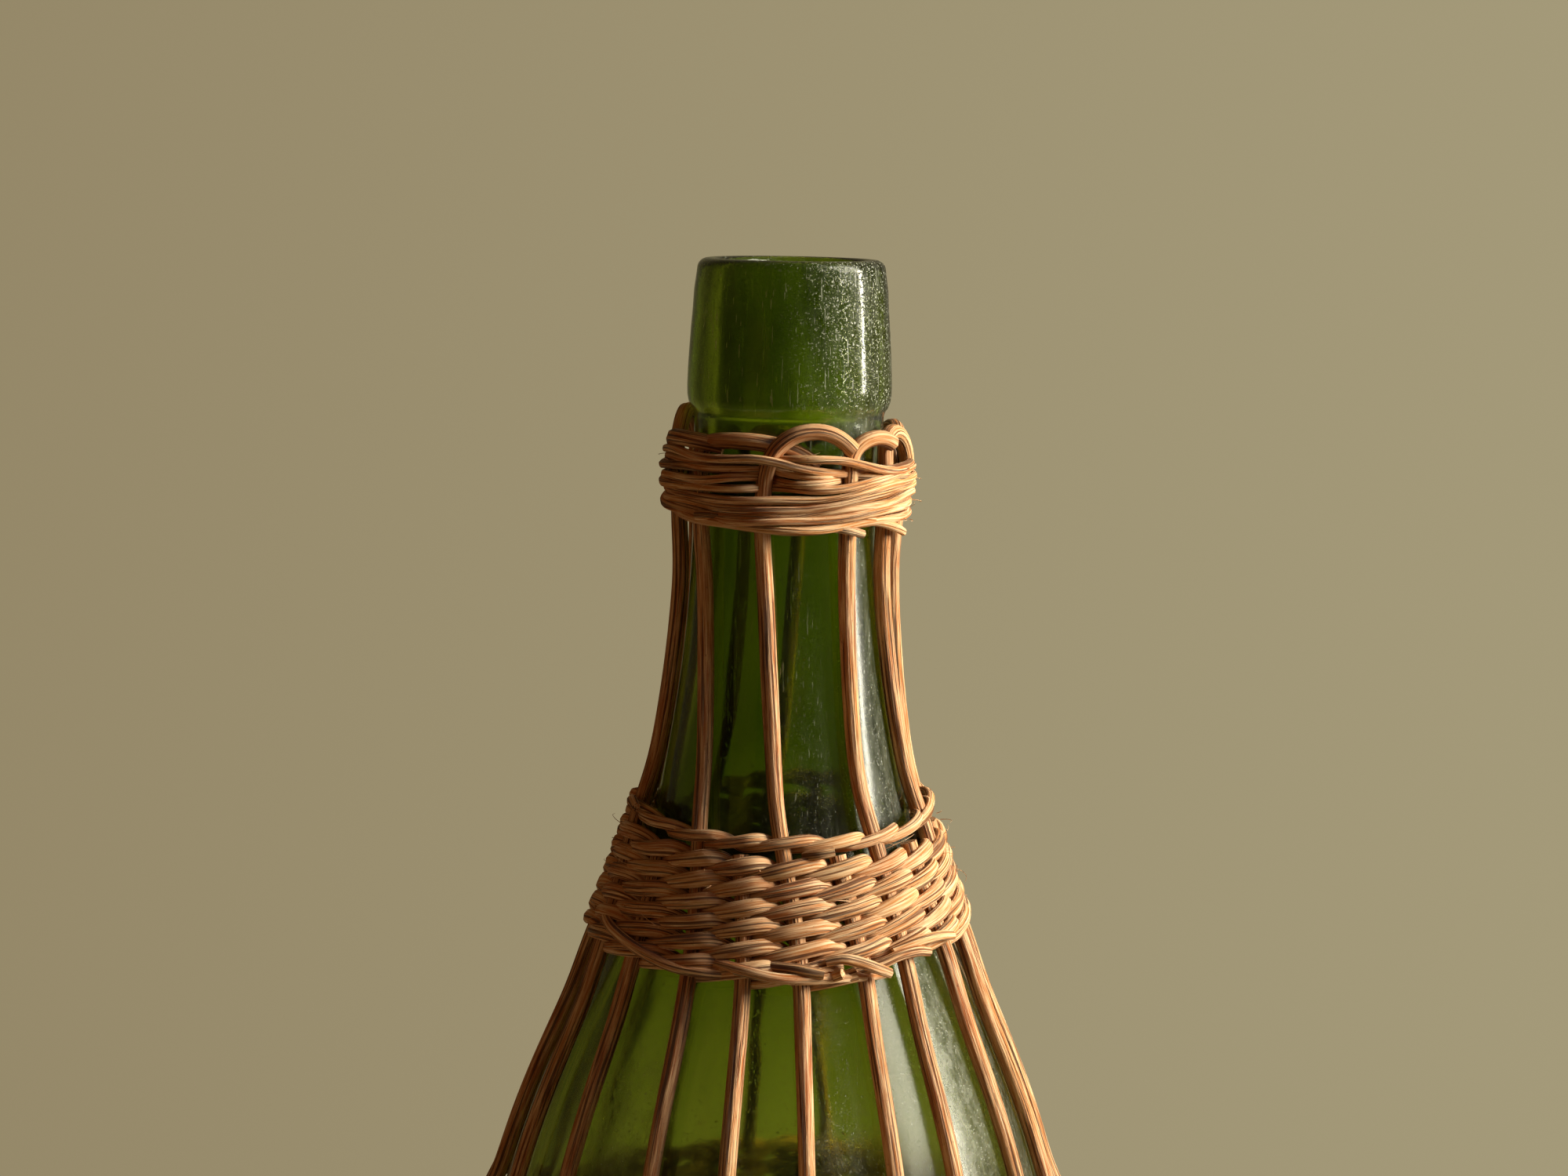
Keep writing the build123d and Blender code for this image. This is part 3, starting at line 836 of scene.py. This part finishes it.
# The foot is two strands twisted about each other
foot_twists, foot_cuts = 8, 24
foot_radius, foot_level, foot_lay = 30.99, 1.72, 1.1
for letter, offset, phase, seed in (("a", 0.0, 0.0, 320), ("b", 1.0, pi, 420)):
    strand = twined((shoulder_band[0] + first_row_drop, shoulder_band[1]), turns=6.3 + 0.03 * offset, row=3.06,
                    first_post=-5.4 - 0.4 * offset, swing=1.55, dip=1.16, phase=phase, width=2.5, thick=1.75,
                    seed=seed, pitch=0.5, sag=1.4, loose_posts=16)
    finished(strand_piece(f"shoulder_twining_{letter}", [strand], weaver), "weaver", f"shoulder_weaver_{letter}")

    strand = twined(basket_band, turns=22.0, row=3.3, first_post=-7.0, swing=2.15, dip=1.1, phase=phase, width=2.4,
                    thick=2.0, seed=seed + 40, pitch=1.3)
    finished(strand_piece(f"basket_twining_{letter}", [strand], weaver), "weaver", f"basket_weaver_{letter}")

    path = []
    for n in range(base_posts * base_cuts + 1):
        post = n / base_cuts
        path.append(on_ring(stake_zero + post * stake_step,
                            fan_radius + base_inset + base_spread * (offset + 2 * post / stakes),
                            base_level + base_sway * cos(pi * post + phase)))
    section = section_of(width=1.7, thick=1.4, sides=12, ridges=3, ridge=0.05, seed=seed + 60)
    strand = strand_mesh(worn_round(path, passes=1), section)
    finished(strand_piece(f"base_winding_{letter}", [strand], weaver), "weaver", f"base_weaver_{letter}")

    path = []
    last = foot_twists * foot_cuts
    for n in range(last + 1):
        twist = 2 * pi * n / foot_cuts + pi / 2 + phase
        turned = 2 * pi * min(n, last - 0.5) / last       # the strand stops just short of its own start
        radius = foot_radius + foot_lay * cos(twist)
        path.append(Vector((radius * cos(turned), radius * sin(turned), foot_level + foot_lay * sin(twist))))
    section = section_of(width=2.0, thick=2.0, sides=12, ridges=4, ridge=0.04, seed=seed + 80)
    piece = strand_piece(f"rope_strand_{letter}", [strand_mesh(path, section)], weaver)
    for vert in piece.data.vertices:
        vert.co.z = max(vert.co.z, 0.0)
    finished(piece, "foot", f"foot_strand_{letter}")

# Loose ends: cut tips at the edges of the two upper bands, and a border strand that has slipped down at the left
neck_tails = [[(-4, 40.2, 0.3), (12, 40.6, 0.6), (23, 40.8, 1.5), (30, 41.2, 2.4), (37, 41.8, 2.6)],
              [(24, 39.4, 1.4), (38, 39.7, 2.2), (52, 40.5, 2.7), (61, 41.4, 2.8), (67, 42.1, 2.7)],
              [(-34, 39.4, 1.5), (-40, 39.2, 2.6), (-45, 39.3, 3.0)]]
shoulder_tails = [
    [(-78, 104.2, 0.4), (-66, 105.2, 1.8), (-57, 106.3, 2.3), (-47, 107.6, 2.4), (-38, 108.8, 2.4), (-29, 109.7, 2.3),
     (-20, 109.8, 1.9), (-12, 109.3, 0.8)],
    [(-24, 108.0, -0.3), (-16, 108.4, 1.6), (-8, 109.2, 2.4), (0, 110.0, 2.4), (9, 110.2, 2.0), (18, 110.0, 1.6),
     (27, 109.8, 0.4), (34, 109.5, -0.6)],
    [(-10, 107.6, 0.2), (-2, 108.2, 1.3), (5, 108.7, 2.4), (12, 109.6, 3.0)],
    [(13, 107.8, 2.4), (17, 107.6, 3.2), (22, 108.3, 3.3), (26, 109.2, 3.3), (31, 110.2, 3.0)],
    [(22, 109.0, 0.4), (29, 108.5, 2.0), (36, 107.6, 3.0), (41, 107.5, 3.3), (46, 108.0, 3.0)],
    [(34, 107.0, 2.2), (44, 106.1, 3.2), (52, 106.1, 3.2), (58, 106.6, 3.0)],
    [(14.5, 110.0, 1.6), (17.0, 109.7, 3.2)],
    [(-92, 88.6, 0.4), (-80, 87.3, 1.8), (-72, 86.8, 2.6), (-65, 87.4, 2.8)],
    [(8, 91.8, 0.6), (13, 91.6, 2.3), (18, 91.2, 2.7)],
]
for name, tails, width, seed in (("neck_tails", neck_tails, 1.5, 500), ("shoulder_tails", shoulder_tails, 1.75, 520)):
    strands = [laid(keys, width, width * 0.8, seed + n, taper=0.16) for n, keys in enumerate(tails)]
    finished(strand_piece(name, strands, weaver), "weaver")

# Fine hairs of split cane that stand out from the weave, and how long they are, lean, curl, rise and get thin
hair_count, hair_pitch = 90, 0.35
hair_size, hair_lean, hair_curl, hair_rise, hair_thinning = (0.8, 2.6), 5, 1.2, 0.7, 0.7
hair_section = [(0.07, 0.0), (-0.035, 0.06), (-0.035, -0.06)]
hairs = []
for n in range(hair_count):
    band, root = (neck_band, 2.6) if n % 4 == 0 else ((90.0, 108.0), 2.0)
    angle, depth = rng.uniform(-180, 180), rng.uniform(*band)
    size, lean, curl = rng.uniform(*hair_size), rng.uniform(-1, 1), rng.uniform(-hair_curl, hair_curl)
    keys = [(angle + lean * hair_lean * t * size + curl * t * t * 3, depth - t * size * 0.8 * curl,
             root + hair_rise * size * sin(2.2 * t)) for t in (0.0, 0.35, 0.7, 1.0)]
    path = [on_coat(*key) for key in flowing(keys, hair_pitch)]
    sizes = [1.0 - hair_thinning * m / len(path) for m in range(len(path))]
    hairs.append(strand_mesh(path, hair_section, sizes=sizes))
finished(strand_piece("hairs", hairs, weaver), "weaver")

# The floor: a pale disc that fades out. It and the lamps are in metres.
floor_radius, fade_start, fade_end = 0.32, 0.17, 0.31
look = Look(bpy.data.materials.new("pale_floor"))
x, y, _ = look.parts(look.place())
away = (x * x + y * y) ** 0.5
look.give(Base_Color=(0.40, 0.355, 0.24), Roughness=0.9, Alpha=look.fade(away, fade_start, fade_end, 1.0, 0.0))
ground = bmesh.new()
bmesh.ops.create_circle(ground, cap_ends=True, segments=96, radius=floor_radius)
floor = shown_piece("floor", ground, look.owner)

# The wall's colour behind everything, a little darker to the left, and the light of the room. The camera sees the
# wall, gloss and glass show a darker room with bright and dark places, and the rest is lit by a faint warm fill.
world = bpy.data.worlds.new("room")
bpy.context.scene.world = world
room = Look(world)
x, y, _ = room.parts(room.node("ShaderNodeTexCoord", {}, out="Generated"))
straight, glossy, passing = (room.node("ShaderNodeLightPath", {}, out=f"Is {ray} Ray")
                             for ray in ("Camera", "Glossy", "Transmission"))
wall_paint = room.ramp(x * 2.2 + 0.5, (0.0, (0.300, 0.246, 0.140)), (1.0, (0.372, 0.322, 0.192)))
round_paint = room.ramp(x * 0.40 + y * 0.30 + 0.5, (0.05, (0.030, 0.024, 0.012)), (0.45, (0.08, 0.066, 0.034)),
                        (0.75, (0.17, 0.145, 0.08)), (1.0, (0.10, 0.085, 0.05)))
far_paint = room.ramp(x * 0.5 + 0.5, (0.06, (0.34, 0.29, 0.165)), (0.28, (0.07, 0.06, 0.032)),
                      (0.42, (0.24, 0.205, 0.115)), (0.60, (0.54, 0.52, 0.28)), (0.70, (0.15, 0.13, 0.07)),
                      (0.78, (0.05, 0.043, 0.023)), (0.90, (0.20, 0.17, 0.10)), (0.98, (0.68, 0.64, 0.40)))
paint = room.mixed(passing, room.mixed(straight, round_paint, wall_paint), far_paint)
fill = room.node("ShaderNodeBackground", {}, Color=(0.36, 0.175, 0.055), Strength=0.18)
room.end_with("World Output", straight.math("MAXIMUM", glossy.math("MAXIMUM", passing)), fill,
              room.node("ShaderNodeBackground", {}, Color=paint))

lit_point = Vector((0, 0, 0.15))
daylight, lamplight, skylight = (1.0, 0.97, 0.91), (1.0, 0.56, 0.30), (1.0, 0.92, 0.80)


def lamp(name, place, size, power, colour, *unseen):
    """A flat lamp that faces the flask, left out of the kinds of light ray that are named."""
    light = bpy.data.lights.new(name, "AREA")
    light.shape = "RECTANGLE"
    light.size, light.size_y = size
    light.energy = power
    light.color = colour
    shown = bpy.data.objects.new(name, light)
    bpy.context.collection.objects.link(shown)
    shown.location = place
    shown.rotation_euler = (lit_point - Vector(place)).to_track_quat("-Z", "Y").to_euler()
    for ray in unseen:
        setattr(shown, f"visible_{ray}", False)


lamp("window", (0.95, -0.09, 0.53), (0.28, 0.50), 31.5, daylight, "transmission", "glossy")
lamp("window_pane", (1.14, -0.24, 1.05), (0.8, 1.3), 29.0, daylight, "transmission", "diffuse")
lamp("window_edge", (1.16, 0.02, 0.35), (0.10, 0.5), 6.5, daylight, "transmission", "diffuse")
lamp("left_fill", (-0.8, -0.7, 0.4), (0.7, 0.7), 0.6, lamplight, "glossy")
lamp("back_fill", (0.25, 0.95, 0.5), (0.6, 0.6), 4.0, skylight, "transmission", "glossy")

# The camera, where the photograph was taken from: so far left and back in metres, and above the mouth in millimetres
camera_left, camera_back, camera_rise = 0.0003, 0.5519, 17.3
camera_pitch, camera_roll = radians(7.19), radians(1.03)
view = bpy.data.cameras.new("view")
view.sensor_width = 36.0
view.lens = 80.1
camera = bpy.data.objects.new("view", view)
bpy.context.collection.objects.link(camera)
camera.matrix_world = (Matrix.Translation((-camera_left, -camera_back, (height + camera_rise) * MM))
                       @ Matrix.Rotation(radians(90) - camera_pitch, 4, "X") @ Matrix.Rotation(camera_roll, 4, "Z"))
bpy.context.scene.camera = camera

bpy.context.scene.view_settings.view_transform = "Standard"
